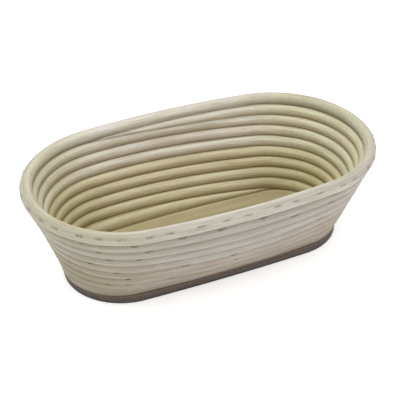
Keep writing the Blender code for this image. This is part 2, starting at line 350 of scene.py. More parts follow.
def to_nearest(value, marks, around=None):
    """Steps to the nearest mark, on a line or round a ring of this many steps."""
    ways = [abs(value - mark) for mark in marks]
    return min(min(way, around - way) if around else way for way in ways)


# ---------------- rails


class Rail:
    """Stations along a cane, each with its directions, its thickness and what its finish needs."""

    VECTORS = ("centre", "along", "outwards", "up")
    FLOATS = ("width", "height", "shear", "span", "turn", "bend", "to_staple")

    def __init__(self):
        self.rows = []

    def add(self, **station):
        before = self.rows[-1] if self.rows else None
        step = (station["centre"] - before["centre"]).length if before else 0
        station["span"] = before["span"] + step if before else 0
        self.rows.append(station)

    def mesh(self, name):
        """A chain of edges that carries the stations as named attributes."""
        mesh = bpy.data.meshes.new(name)
        count = len(self.rows)
        points = [row["centre"] for row in self.rows]
        mesh.from_pydata(points, [(i, i + 1) for i in range(count - 1)], [])
        for key in self.VECTORS:
            layer = mesh.attributes.new(key, "FLOAT_VECTOR", "POINT")
            layer.data.foreach_set("vector", [part for row in self.rows for part in row[key]])
        for key in self.FLOATS:
            layer = mesh.attributes.new(key, "FLOAT", "POINT")
            layer.data.foreach_set("value", [row[key] for row in self.rows])
        return mesh


def whole_places(first, last):
    """The first place, the whole steps between, and the last place."""
    start = math.ceil(first + RAMP_START + 0.25)
    end = math.floor(last + RAMP_START - 0.25)
    return [first, *(step - RAMP_START for step in range(start, end + 1)), last]


def wall_rail(first, last):
    """The rail of one wall cane, thinned to a taper over the coil's first and last ramp."""
    rail = Rail()
    for place in whole_places(first, last):
        step = place + RAMP_START
        level = spiral_level(place)
        height, inward, flatness = CANE_DIAMETER, 0, 1
        if level < 0:
            height = (level + 1) * PITCH - GAP
            level = level / 2
        elif level > TURNS - 1:
            room = (TURNS - level) * PITCH - GAP
            from_tip = (UPPER_TAPER_END - place) * STEP_LENGTH / UPPER_TAPER_LENGTH
            cut_away = (1 - within(from_tip, UPPER_TAPER_TIP)) ** UPPER_TAPER_BLUNTNESS
            height = max(room, CANE_DIAMETER * (1 - cut_away))
            laid_over = height - room
            level = (level + TURNS - 1) / 2 - laid_over / PITCH / LAID_OVER_TO_DROP
            inward = UPPER_TAPER_INWARD * min(laid_over / INWARD_PAST, 1)
            flatness = 1 - UPPER_TAPER_FLATNESS * min(laid_over / FLAT_PAST, 1)
        press = within((FOOT_PRESS_END - place / STEPS) / FOOT_PRESS_EASE)
        pressed = min(FOOT_PRESS, height / 2) * press
        along, outwards, up = frame_at(step, level)
        share = max(0, 1 - abs(place - SCARF_PLACE) * STEP_LENGTH / SCARF_RUN_IN)
        rail.add(
            centre=centre_at(step, level) - outwards * inward - up * pressed,
            along=along,
            outwards=outwards,
            up=up,
            width=taper_width(height) * WIDTH_FILL * flatness,
            height=height * rise_at(step, level).length / PITCH * HEIGHT_FILL + 2 * pressed,
            shear=share * SCARF_SLANT,
            turn=spiral_level(place),
            bend=bend_at(step),
            to_staple=to_nearest(place, SHOWING_PLACES) * STEP_LENGTH,
        )
    return rail


def rim_rail():
    """The rail of the rim: one thicker cane bent round until its slanting ends meet at the back."""
    rail = Rail()
    start = round(STEPS * RIM_SCARF_STEP_SHARE)
    for number in range(STEPS + 1):
        step = start + number
        centre, normal = TURN_POINTS[TURNS][step % STEPS], oval_point(RIM_SIZES, step)[1]
        from_end = min(number, STEPS - number) * STEP_LENGTH
        rail.add(
            centre=centre,
            along=Vector((-normal.y, normal.x, 0)),
            outwards=normal,
            up=Vector((0, 0, 1)),
            width=RIM_DIAMETER,
            height=RIM_DIAMETER * RIM_HEIGHT_FILL,
            shear=max(0, 1 - from_end / SCARF_RUN_IN) * SCARF_SLANT,
            turn=TURNS,
            bend=bend_at(step),
            to_staple=to_nearest(step, RIM_STAPLE_STEPS, STEPS) * STEP_LENGTH,
        )
    return rail


# ---------------- node helpers


def put(tree, kind, inputs=None, **settings):
    """Adds a node, sets its properties, and fills its inputs with values or links from other nodes."""
    node = tree.nodes.new(kind)
    for key, value in settings.items():
        setattr(node, key, value)
    for key, value in (inputs or {}).items():
        socket = node.inputs[key]
        if isinstance(value, bpy.types.Node):
            value = next(output for output in value.outputs if output.enabled)
        if isinstance(value, bpy.types.NodeSocket):
            tree.links.new(value, socket)
        else:
            socket.default_value = value
    return node


def maths(tree, operation, *values):
    return put(tree, "ShaderNodeMath", dict(enumerate(values)), operation=operation).outputs[0]


def times(tree, product, *values):
    """The product of all the values."""
    for value in values:
        product = maths(tree, "MULTIPLY", product, value)
    return product


def vectors(tree, operation, *values):
    inputs = dict(zip((0, "Scale") if operation == "SCALE" else (0, 1), values))
    node = put(tree, "ShaderNodeVectorMath", inputs, operation=operation)
    return node.outputs["Value" if operation == "LENGTH" else "Vector"]


def parts_of(tree, vector):
    return put(tree, "ShaderNodeSeparateXYZ", {0: vector}).outputs


def vector_of(tree, x=0.0, y=0.0, z=0.0):
    return put(tree, "ShaderNodeCombineXYZ", {0: x, 1: y, 2: z}).outputs[0]


def ramp(tree, value, low, high):
    """A smooth step, 0 at one value and 1 at another."""
    values = {"Value": value, "From Min": low, "From Max": high}
    return put(tree, "ShaderNodeMapRange", values, interpolation_type="SMOOTHSTEP").outputs[0]


def blend(tree, factor, first, second, way="MIX"):
    """A Mix node on colours."""
    inputs = {0: factor, 6: first, 7: second}
    return put(tree, "ShaderNodeMix", inputs, data_type="RGBA", blend_type=way).outputs[2]


def noise(tree, vector, scale, detail=2.0, roughness=0.5, output="Fac"):
    values = {"Vector": vector, "Scale": scale, "Detail": detail, "Roughness": roughness}
    return put(tree, "ShaderNodeTexNoise", values).outputs[output]


def drawn_out(tree, vector, along, across, detail=2.0, roughness=0.5):
    """Noise with its own scale along x and across it."""
    return noise(tree, vectors(tree, "MULTIPLY", vector, (along, across, across)), 1.0, detail, roughness)


def group_of(name, kind, inputs, outputs):
    """A node group with named sockets, and the sockets of its input and output nodes."""
    tree = bpy.data.node_groups.new(name, kind)
    for direction, sockets in (("INPUT", inputs), ("OUTPUT", outputs)):
        for title, what, value in sockets:
            socket = tree.interface.new_socket(title, in_out=direction, socket_type="NodeSocket" + what)
            if value is not None:
                socket.default_value = value
    return tree, tree.nodes.new("NodeGroupInput").outputs, tree.nodes.new("NodeGroupOutput").inputs


def give(tree, result, **values):
    """Links a group's values to its outputs of the same names."""
    for title, value in values.items():
        tree.links.new(value, result[title])


def masks(*titles):
    """Output sockets of plain values."""
    return [(title, "Float", None) for title in titles]


def card(*parts):
    """A linear colour from the 0-255 numbers of a colour card."""
    shares = [part / 255 for part in parts]
    linear = [share / 12.92 if share <= 0.04045 else ((share + 0.055) / 1.055) ** 2.4 for share in shares]
    return (*linear, 1.0)


def placed(name, data):
    """A new object in the scene that holds this mesh, light or camera."""
    made = bpy.data.objects.new(name, data)
    bpy.context.scene.collection.objects.link(made)
    return made


def plain_mesh(source):
    """The mesh of an object with its modifiers applied. The object is taken away."""
    evaluated = source.evaluated_get(bpy.context.evaluated_depsgraph_get())
    mesh = bpy.data.meshes.new_from_object(evaluated)
    source.modifiers.clear()
    bpy.data.objects.remove(source)
    return mesh


def shape_of(name, mesh):
    """A new object with the shape of a bmesh, which it frees."""
    data = bpy.data.meshes.new(name)
    mesh.to_mesh(data)
    mesh.free()
    return placed(name, data)


# ---------------- geometry trees

# How the natural stock varies: noise scales along and round a cane, and the upward share of wander.
WANDER_SCALE = 11.0
UPWARD_WANDER = 0.45
LUMPS_ALONG = 26.0
LUMPS_ROUND = 0.9


def attribute(tree, name, kind="FLOAT"):
    """A named attribute's value."""
    return put(tree, "GeometryNodeInputNamedAttribute", {"Name": name}, data_type=kind).outputs["Attribute"]


def stored(tree, geometry, name, value, kind="FLOAT"):
    """The geometry with a value kept on its points."""
    inputs = {"Geometry": geometry, "Name": name, "Value": value}
    return put(tree, "GeometryNodeStoreNamedAttribute", inputs, data_type=kind, domain="POINT")


def dressed(tree, geometry, finish, result):
    """Ends a tree: one real mesh in its finish."""
    whole = put(tree, "GeometryNodeRealizeInstances", {"Geometry": geometry})
    done = put(tree, "GeometryNodeSetMaterial", {"Geometry": whole, "Material": finish})
    tree.links.new(done.outputs[0], result[0])


def cane_tree():
    """Skins a round cane along a rail, with the wander and the uneven thickness of natural stock."""
    tree, given, result = group_of(
        "cane along a rail",
        "GeometryNodeTree",
        (
            ("Geometry", "Geometry", None),
            ("Sides", "Int", CANE_SIDES),
            ("Wander", "Float", 0.0002),
            ("Unevenness", "Float", 0.02),
            ("Seed", "Float", 0.0),
            ("Lowest", "Float", 0.0),
            ("Material", "Material", None),
        ),
        (("Geometry", "Geometry", None),),
    )
    factor = put(tree, "GeometryNodeSplineParameter").outputs["Factor"]
    circle = put(tree, "GeometryNodeCurvePrimitiveCircle", {"Resolution": given["Sides"], "Radius": 0.001})
    profile = stored(tree, circle.outputs["Curve"], "round", times(tree, factor, 2 * math.pi))
    rail = put(tree, "GeometryNodeMeshToCurve", {"Mesh": given["Geometry"]})
    skin = put(tree, "GeometryNodeCurveToMesh", {"Curve": rail, "Profile Curve": profile, "Fill Caps": True})

    angle = attribute(tree, "round")
    span = attribute(tree, "span")
    cosine, sine = maths(tree, "COSINE", angle), maths(tree, "SINE", angle)
    place = vector_of(tree, span, given["Seed"])
    drift = noise(tree, place, WANDER_SCALE, detail=1.0, output="Color")
    parts = parts_of(tree, drift)
    outward_drift = times(tree, maths(tree, "SUBTRACT", parts[0], 0.5), given["Wander"])
    upward_drift = maths(tree, "SUBTRACT", parts[1], 0.5)
    upward_drift = times(tree, upward_drift, given["Wander"], UPWARD_WANDER)

    # The stock's thickness changes slowly along it and a little round it.
    side_place = vector_of(
        tree,
        times(tree, span, LUMPS_ALONG),
        maths(tree, "MULTIPLY_ADD", cosine, LUMPS_ROUND, given["Seed"]),
        times(tree, sine, LUMPS_ROUND),
    )
    lumps = maths(tree, "SUBTRACT", noise(tree, side_place, 1.0), 0.5)
    size = maths(tree, "MULTIPLY_ADD", lumps, times(tree, given["Unevenness"], 2.0), 1.0)

    across = times(tree, cosine, times(tree, attribute(tree, "width"), 0.5, size))
    upward = times(tree, sine, times(tree, attribute(tree, "height"), 0.5, size))
    forward = times(tree, across, attribute(tree, "shear"))

    position = attribute(tree, "centre", "FLOAT_VECTOR")
    for direction, amount in (
        ("outwards", maths(tree, "ADD", across, outward_drift)),
        ("up", maths(tree, "ADD", upward, upward_drift)),
        ("along", forward),
    ):
        reach = vectors(tree, "SCALE", attribute(tree, direction, "FLOAT_VECTOR"), amount)
        position = vectors(tree, "ADD", position, reach)
    split = parts_of(tree, position)
    height = maths(tree, "MAXIMUM", split[2], given["Lowest"])
    position = vector_of(tree, split[0], split[1], height)
    skin = put(tree, "GeometryNodeSetPosition", {"Geometry": skin, "Position": position})

    own_space = vector_of(tree, maths(tree, "ADD", span, forward), across, upward)
    skin = stored(tree, skin, "cane_space", own_space, "FLOAT_VECTOR")
    smooth = put(tree, "GeometryNodeSetShadeSmooth", {"Geometry": skin})
    dressed(tree, smooth, given["Material"], result)
    return tree


def between(tree, low, high, seed):
    """A random value for each point."""
    inputs = {2: low, 3: high, "Seed": seed}
    return put(tree, "FunctionNodeRandomValue", inputs, data_type="FLOAT").outputs[1]


def scatter_tree():
    """Sets one fastener on each point, its z out of the wood and its x along the cane."""
    tree, given, result = group_of(
        "fasteners on points",
        "GeometryNodeTree",
        (
            ("Geometry", "Geometry", None),
            ("Fastener", "Object", None),
            ("Twist", "Float", 0.05),
            ("Sink", "Float", 0.0),
            ("Seed", "Int", 0),
            ("Material", "Material", None),
        ),
        (("Geometry", "Geometry", None),),
    )
    axes = {
        "Primary Axis": attribute(tree, "back", "FLOAT_VECTOR"),
        "Secondary Axis": attribute(tree, "along", "FLOAT_VECTOR"),
    }
    facing = put(tree, "FunctionNodeAxesToRotation", axes, primary_axis="Z", secondary_axis="X")
    twist = between(tree, times(tree, given["Twist"], -1.0), given["Twist"], given["Seed"])
    turn = put(tree, "FunctionNodeAxisAngleToRotation", {"Axis": (0, 0, 1), "Angle": twist})
    ways = {"Rotation": facing, "Rotate By": turn}
    rotation = put(tree, "FunctionNodeRotateRotation", ways, rotation_space="LOCAL")
    shape = put(tree, "GeometryNodeObjectInfo", {"Object": given["Fastener"]})
    seats = {"Points": given["Geometry"], "Instance": shape.outputs["Geometry"], "Rotation": rotation}
    copies = put(tree, "GeometryNodeInstanceOnPoints", seats)
    depth = between(tree, times(tree, given["Sink"], -1.0), 0.0, given["Seed"])
    drop = vector_of(tree, z=depth)
    sunk = put(tree, "GeometryNodeTranslateInstances", {"Instances": copies, "Translation": drop})
    dressed(tree, sunk, given["Material"], result)
    return tree


def baked(name, mesh, tree, **values):
    """The plain mesh object that a geometry node tree makes from a mesh with these named inputs."""
    source = placed(name + " rail", mesh)
    modifier = source.modifiers.new("shape", "NODES")
    modifier.node_group = tree
    for item in tree.interface.items_tree:
        if item.in_out == "INPUT" and item.name in values:
            modifier[item.identifier] = values[item.name]
    result = plain_mesh(source)
    result.name = name
    faces = bmesh.new()
    faces.from_mesh(result)
    bmesh.ops.recalc_face_normals(faces, faces=faces.faces)
    faces.to_mesh(result)
    faces.free()
    return placed(name, result)


def keep_attributes(piece, names):
    """Takes off a mesh the attributes that only its making needed."""
    used = [item.name for item in piece.data.attributes if not (item.is_required or item.is_internal)]
    for name in used:
        if name not in names and name not in ("sharp_face", "sharp_edge", "material_index"):
            piece.data.attributes.remove(piece.data.attributes[name])


# ---------------- shader groups


def fibre_group():
    """Long fibres, pores, slow patches and cross creases of a cane, from its own coordinates."""
    tree, given, result = group_of(
        "cane fibres",
        "ShaderNodeTree",
        (("Cane Space", "Vector", None), ("Bend", "Float", 0.0), ("Seed", "Float", 0.0)),
        masks("Streak", "Pore", "Patch", "Crease", "Height"),
    )
    space = vectors(tree, "ADD", given["Cane Space"], vector_of(tree, given["Seed"]))
    streak = drawn_out(tree, space, 34.0, 900.0, detail=4.0, roughness=0.62)
    fine = drawn_out(tree, space, 160.0, 3600.0)
    pore = ramp(tree, drawn_out(tree, space, 260.0, 3000.0, detail=1.0), 0.64, 0.74)
    patch = drawn_out(tree, space, 9.0, 70.0, detail=3.0, roughness=0.6)
    inner = ramp(tree, parts_of(tree, given["Cane Space"])[1], 0.001, -0.003)
    crease = ramp(tree, drawn_out(tree, space, 560.0, 110.0), 0.46, 0.66)
    crease = times(tree, crease, inner, given["Bend"])
    height = maths(tree, "MULTIPLY_ADD", fine, 0.35, times(tree, streak, 0.8))
    height = maths(tree, "SUBTRACT", height, times(tree, pore, 0.5))
    height = maths(tree, "SUBTRACT", height, times(tree, crease, 0.35))
    give(tree, result, Streak=streak, Pore=pore, Patch=patch, Crease=crease, Height=height)
    return tree


def seam_group():
    """Painted shade and dirt in the seams between canes, whether a spot faces into the basket, and the lower
    side that takes painted shade.
    """
    tree, given, result = group_of(
        "cane seams",
        "ShaderNodeTree",
        (
            ("Cane Space", "Vector", None),
            ("Radius", "Float", CANE_DIAMETER / 2),
            ("Seam Above", "Float", 1.0),
        ),
        masks("Seam", "Inner", "Underside"),
    )
    parts = parts_of(tree, given["Cane Space"])
    upward = maths(tree, "DIVIDE", parts[2], given["Radius"])
    outward = maths(tree, "DIVIDE", parts[1], given["Radius"])
    above = times(tree, upward, given["Seam Above"])
    closeness = maths(tree, "MAXIMUM", above, times(tree, upward, -1.0))
    wobble = drawn_out(tree, given["Cane Space"], 120.0, 300.0)
    depth = maths(tree, "MULTIPLY_ADD", maths(tree, "SUBTRACT", wobble, 0.5), 0.12, closeness)
    give(
        tree,
        result,
        Seam=ramp(tree, depth, 0.76, 1.0),
        Inner=ramp(tree, outward, 0.5, -0.3),
        Underside=ramp(tree, upward, 0.45, -0.7),
    )
    return tree


def staple_mark_group():
    """The pressed wood round a staple's crown, stained and with painted shade in its dent, from the way
    along and round the cane.
    """
    tree, given, result = group_of(
        "staple marks",
        "ShaderNodeTree",
        (
            ("Cane Space", "Vector", None),
            ("To Staple", "Float", 0.0),
            ("Angle", "Float", STAPLE_ANGLE),
            ("Half Length", "Float", 0.0032),
            ("Half Width", "Float", 0.0011),
        ),
        masks("Mark"),
    )
    parts = parts_of(tree, given["Cane Space"])
    round_angle = maths(tree, "ARCTAN2", parts[2], parts[1])
    beside = times(tree, maths(tree, "SUBTRACT", round_angle, given["Angle"]), RIM_DIAMETER / 2)
    wobble = maths(tree, "SUBTRACT", noise(tree, given["Cane Space"], 700.0), 0.5)
    beside = maths(tree, "MULTIPLY_ADD", wobble, 0.0010, beside)
    long_part = maths(tree, "POWER", maths(tree, "DIVIDE", given["To Staple"], given["Half Length"]), 2.0)
    wide_part = maths(tree, "POWER", maths(tree, "DIVIDE", beside, given["Half Width"]), 2.0)
    reach = maths(tree, "SQRT", maths(tree, "ADD", long_part, wide_part))
    give(tree, result, Mark=ramp(tree, reach, 1.15, 0.55))
    return tree


def tarnish_group():
    """Dull and rusty patches on steel."""
    tree, given, result = group_of(
        "tarnish",
        "ShaderNodeTree",
        (("Vector", "Vector", None), ("Amount", "Float", 0.5)),
        masks("Tarnish", "Roughness"),
    )
    spots = noise(tree, given["Vector"], 900.0, detail=3.0, roughness=0.6)
    lowest = maths(tree, "SUBTRACT", 0.75, times(tree, given["Amount"], 0.5))
    tarnish = ramp(tree, spots, lowest, maths(tree, "ADD", lowest, 0.16))
    give(tree, result, Tarnish=tarnish, Roughness=maths(tree, "MULTIPLY_ADD", tarnish, 0.25, 0.55))
    return tree


FIBRES = fibre_group()
SEAMS = seam_group()
STAPLE_MARKS = staple_mark_group()
TARNISH = tarnish_group()


# ---------------- materials


def material(name):
    """A new material with only its Principled shader and output."""
    made = bpy.data.materials.new(name)
    made.use_nodes = True
    tree = made.node_tree
    tree.nodes.clear()
    shader = tree.nodes.new("ShaderNodeBsdfPrincipled")
    output = tree.nodes.new("ShaderNodeOutputMaterial")
    tree.links.new(shader.outputs[0], output.inputs[0])
    return made, tree, shader


def surface(tree, shader, colour, roughness, height, strength, distance):
    """Gives a shader its colour, its roughness and a bump from a height."""
    bump = put(tree, "ShaderNodeBump", {"Strength": strength, "Distance": distance, "Height": height})
    tree.links.new(colour, shader.inputs["Base Color"])
    tree.links.new(roughness, shader.inputs["Roughness"])
    tree.links.new(bump.outputs[0], shader.inputs["Normal"])


def own(tree, name, output="Fac"):
    """A named attribute of the piece, in a material."""
    return put(tree, "ShaderNodeAttribute", attribute_name=name).outputs[output]


def object_place(tree):
    return put(tree, "ShaderNodeTexCoord").outputs["Object"]


def placed_group(tree, group, **inputs):
    """A shader group in a material, with its inputs by name, and its outputs."""
    named = {key.replace("_", " "): value for key, value in inputs.items()}
    return put(tree, "ShaderNodeGroup", named, node_tree=group).outputs


def steps_ramp(tree, value, stops):
    """A colour ramp through (place, colour) stops."""
    node = put(tree, "ShaderNodeValToRGB", {"Fac": value})
    elements = node.color_ramp.elements
    while len(elements) < len(stops):
        elements.new(0.5)
    for element, (place, colour) in zip(elements, stops):
        element.position = place
        element.color = colour
    return node.outputs["Color"]


def cane_material(
    name, outer, inner, right_inside, inner_seam_shade, shades, seed, radius, seam_above, mark, stain_and_shade
):
    """Debarked cane: fibres and patches over an outer and an inner colour, with painted shade and dirt in
    the seams.
    """
    made, tree, shader = material(name)
    space = own(tree, "cane_space", "Vector")
    fibres = placed_group(tree, FIBRES, Cane_Space=space, Bend=own(tree, "bend"), Seed=seed)
    seams = placed_group(tree, SEAMS, Cane_Space=space, Radius=radius, Seam_Above=seam_above)
    to_staple = own(tree, "to_staple")
    marks = placed_group(tree, STAPLE_MARKS, Cane_Space=space, To_Staple=to_staple, **mark)
    inside = seams["Inner"]
    patch = ramp(tree, fibres["Patch"], 0.34, 0.66)
    streak = ramp(tree, fibres["Streak"], 0.30, 0.72)
    turns_up = maths(tree, "DIVIDE", maths(tree, "ADD", own(tree, "turn"), 1.0), TURNS + 1.0)
    spot = parts_of(tree, object_place(tree))
    left_end = ramp(tree, spot[0], -0.050, -0.115)
    right_end = ramp(tree, spot[0], 0.055, 0.110)
    on_board = ramp(tree, spot[2], PLATE_THICKNESS + 0.0055, PLATE_THICKNESS + 0.0005)
    colour = blend(tree, inside, outer, inner)
    for amount, tint in (
        (1.0, steps_ramp(tree, turns_up, shades)),
        (times(tree, patch, 0.5), PATCH_TINT),
        (times(tree, streak, 0.75), STREAK_TINT),
        (times(tree, fibres["Pore"], 0.35), PORE_TINT),
        # Painted shade in the cross creases at the bends.
        (times(tree, fibres["Crease"], 0.06), CREASE_SHADE),
        # Painted shade on the lower side of the canes inside the basket.
        (times(tree, seams["Underside"], inside, 0.5), UNDERSIDE_SHADE),
        (left_end, LEFT_END_TINT),
        # Painted shade on the inside of the left end.
        (times(tree, left_end, inside), LEFT_INSIDE_SHADE),
        (times(tree, right_end, inside), right_inside),
    ):
        colour = blend(tree, amount, colour, tint, "MULTIPLY")
    # Painted shade and dirt in the seams, less of it next to the board.
    seam = times(tree, seams["Seam"], maths(tree, "MULTIPLY_ADD", on_board, -0.7, 0.75))
    # Browner low on the outside of the lowest turn, next to the board.
    foot = times(tree, on_board, maths(tree, "SUBTRACT", 1.0, inside))
    foot = times(tree, foot, maths(tree, "MULTIPLY_ADD", patch, 0.3, 0.35))
    colour = blend(tree, seam, colour, blend(tree, inside, OUTER_SEAM_SHADE, inner_seam_shade))
    colour = blend(tree, foot, colour, FOOT_BROWN)
    # Stain and painted shade in the dent round each staple.
    colour = blend(tree, times(tree, marks["Mark"], stain_and_shade), colour, STAPLE_STAIN_AND_SHADE)
    height = maths(tree, "SUBTRACT", fibres["Height"], times(tree, marks["Mark"], 1.2))
    roughness = maths(tree, "MULTIPLY_ADD", fibres["Streak"], 0.22, 0.50)
    surface(tree, shader, colour, roughness, height, strength=0.45, distance=0.0002)
    shader.inputs["Specular IOR Level"].default_value = 0.35
    return made


def plate_material():
    """Plain wooden board: grain along the basket, a dark stained edge with painted shade, and a plain
    underside.
    """
    made, tree, shader = material("stained plate wood with painted edge shade")
    place = object_place(tree)
    streak = drawn_out(tree, place, 14.0, 330.0, detail=5.0, roughness=0.62)
    fine = drawn_out(tree, place, 90.0, 2400.0)
    patch = drawn_out(tree, place, 10.0, 34.0, detail=3.0)
    grain = maths(tree, "MULTIPLY_ADD", fine, 0.3, times(tree, streak, 0.7))
    grain = ramp(tree, grain, 0.32, 0.68)
    wood = blend(tree, grain, card(151, 141, 108), card(174, 164, 129))
    wood = blend(tree, times(tree, patch, 0.5), wood, card(228, 214, 190), "MULTIPLY")
    parts = parts_of(tree, place)
    past_end = maths(tree, "SUBTRACT", maths(tree, "ABSOLUTE", parts[0]), PLATE_END_X)
    past_end = maths(tree, "MAXIMUM", past_end, 0.0)
    off_middle = vectors(tree, "LENGTH", vector_of(tree, past_end, parts[1]))
    # Painted light on the board next to the wall, lifting the shade that falls there.
    painted_light_near_wall = times(tree, ramp(tree, off_middle, 0.034, 0.043), 0.8)
    wood = blend(tree, painted_light_near_wall, wood, card(208, 197, 156))

    # The edge shows the board's layers and darkens towards its foot; its dark brown is stain with painted
    # shade.
    stain_and_shade = blend(tree, grain, card(50, 40, 34), card(86, 73, 65))
    layers = noise(tree, vectors(tree, "MULTIPLY", place, (12.0, 12.0, 1400.0)), 1.0, detail=1.0)
    layers = times(tree, ramp(tree, layers, 0.45, 0.62), 0.35)
    stain_and_shade = blend(tree, layers, stain_and_shade, card(100, 85, 74))
    low_down = ramp(tree, parts[2], PLATE_THICKNESS * 0.8, 0.0)
    stain_and_shade = blend(tree, low_down, stain_and_shade, EDGE_FOOT_TINT, "MULTIPLY")
    facing = parts_of(tree, put(tree, "ShaderNodeNewGeometry").outputs["Normal"])
    # Painted light: the edge's up-facing faces are lighter, lifting the shade under the lowest cane.
    stain_and_shade = blend(tree, ramp(tree, facing[2], 0.3, 0.9), stain_and_shade, LEDGE_PAINTED_LIGHT)

    unstained = ramp(tree, off_middle, STAIN_FROM + 0.001, STAIN_FROM)
    top = times(tree, ramp(tree, facing[2], 0.80, 0.97), unstained)
    colour = blend(tree, top, stain_and_shade, wood)
    underneath = ramp(tree, facing[2], -0.80, -0.97)
    colour = blend(tree, underneath, colour, blend(tree, grain, card(120, 98, 66), card(158, 134, 96)))
    height = maths(tree, "MULTIPLY_ADD", fine, 0.4, streak)
    roughness = maths(tree, "MULTIPLY_ADD", streak, 0.25, 0.52)
    surface(tree, shader, colour, roughness, height, strength=0.5, distance=0.0003)
    return made


def steel_material(name, bright, dull, amount):
    """Steel, tarnished in spots."""
    made, tree, shader = material(name)
    place = object_place(tree)
    tarnish = placed_group(tree, TARNISH, Vector=place, Amount=amount)
    tree.links.new(blend(tree, tarnish["Tarnish"], bright, dull), shader.inputs["Base Color"])
    tree.links.new(tarnish["Roughness"], shader.inputs["Roughness"])
    metal = maths(tree, "MULTIPLY_ADD", tarnish["Tarnish"], -0.45, 0.6)
    tree.links.new(metal, shader.inputs["Metallic"])
    return made


WHITE = (1.0, 1.0, 1.0, 1.0)
PATCH_TINT = card(232, 226, 212)
STREAK_TINT = card(214, 207, 194)
PORE_TINT = card(150, 132, 106)
# Painted shade for the cross creases.
CREASE_SHADE = card(170, 152, 120)
# Painted shade for the lower side of the inner canes.
UNDERSIDE_SHADE = card(216, 196, 180)
LEFT_END_TINT = card(249, 252, 239)
# Painted shade for the inside of the left end.
LEFT_INSIDE_SHADE = card(242, 240, 234)
RIGHT_PALE_TINT = card(244, 246, 225)
RIGHT_GOLDEN_TINT = card(251, 253, 240)
RIGHT_RIM_TINT = card(232, 234, 216)
# Brown low on the outside of the lowest turn.
FOOT_BROWN = card(112, 95, 84)
# Stain and painted shade round a staple.
STAPLE_STAIN_AND_SHADE = card(104, 90, 78)
# Lighter brown painted on the edge's up-facing faces, lifting their shade.
LEDGE_PAINTED_LIGHT = card(118, 101, 89)
EDGE_FOOT_TINT = card(168, 164, 162)
PALE_SHADES = [
    (0.50, card(243, 239, 233)),
    (0.60, card(255, 255, 250)),
    (0.74, card(250, 245, 242)),
    (0.84, card(253, 252, 246)),
    (1.0, WHITE),
]
GOLDEN_SHADES = [
    (0.0, card(246, 243, 229)),
    (0.25, card(248, 246, 236)),
    (0.40, card(252, 250, 243)),
    (0.52, card(255, 252, 248)),
]
# Outer seam colour: painted shade.
OUTER_SEAM_SHADE = card(154, 146, 136)

# The pressed wood at a staple.
RIM_MARK = dict(Angle=math.radians(32), Half_Length=0.0028, Half_Width=0.0008)
WALL_MARK = dict(Angle=math.radians(60), Half_Length=0.0026, Half_Width=0.0010)
WALL_CANE = dict(radius=CANE_DIAMETER / 2, seam_above=1.0, mark=WALL_MARK, stain_and_shade=0.65)

upper_finish = cane_material(
    "pale cane",
    outer=card(170, 167, 164),
    inner=card(219, 217, 210),
    right_inside=RIGHT_PALE_TINT,
    inner_seam_shade=card(160, 146, 122),
    shades=PALE_SHADES,
    seed=0.0,
    **WALL_CANE,
)
lower_finish = cane_material(
    "golden cane",
    outer=card(164, 157, 151),
    inner=card(205, 200, 175),
    right_inside=RIGHT_GOLDEN_TINT,
    inner_seam_shade=card(150, 134, 94),
    shades=GOLDEN_SHADES,
    seed=3.1,
    **WALL_CANE,
)
rim_finish = cane_material(
    "rim cane",
    outer=card(180, 176, 168),
    inner=card(209, 206, 198),
    right_inside=RIGHT_RIM_TINT,
    inner_seam_shade=card(140, 126, 104),
    shades=[(0.0, WHITE), (1.0, WHITE)],
    seed=7.7,
    radius=RIM_DIAMETER / 2,
    seam_above=0.0,
    mark=RIM_MARK,
    stain_and_shade=0.3,
)
plate_finish = plate_material()
staple_finish = steel_material("tarnished staple wire", card(150, 144, 134), card(112, 104, 94), 0.7)
# The wall staples are dark brown steel, tarnished in spots.
wall_staple_finish = steel_material("dark brown staple wire", card(98, 86, 74), card(62, 50, 40), 0.9)
nail_finish = steel_material("nail steel", card(150, 148, 146), card(96, 84, 72), 0.5)


# ---------------- canes

canes = cane_tree()
wall = dict(Sides=CANE_SIDES, Wander=0.0007, Unevenness=0.022, Lowest=PLATE_THICKNESS)


def cane_piece(name, rail, node, **values):
    piece = baked(name, rail.mesh(name), canes, **values)
    keep_attributes(piece, ("position", "cane_space", "turn", "bend", "to_staple"))
    piece.data.set_sharp_from_angle(angle=math.radians(60))
    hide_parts(node)
    return piece


lower_rail = wall_rail(COIL_START, SCARF_PLACE)
upper_rail = wall_rail(SCARF_PLACE, UPPER_TAPER_END)
lower_cane = cane_piece(
    "lower_wall_cane", lower_rail, "wall_cane_lower", Seed=1.3, Material=lower_finish, **wall
)
upper_cane = cane_piece(
    "upper_wall_cane", upper_rail, "wall_cane_upper", Seed=5.9, Material=upper_finish, **wall
)
rim_cane = cane_piece(
    "rim_turn",
    rim_rail(),
    "rim_cane",
    Sides=RIM_SIDES,
    Wander=0.0005,
    Unevenness=0.012,
    Seed=9.4,
    Lowest=PLATE_THICKNESS,
    Material=rim_finish,
)


# ---------------- staples and nails


def filled_out(outline, way):
    """A bmesh of an outline of points, filled and given depth one way."""
    mesh = bmesh.new()
    face = mesh.faces.new([mesh.verts.new(point) for point in outline])
    grown = bmesh.ops.extrude_face_region(mesh, geom=[face])
    far = [item for item in grown["geom"] if isinstance(item, bmesh.types.BMVert)]
    bmesh.ops.translate(mesh, verts=far, vec=way)
    return mesh


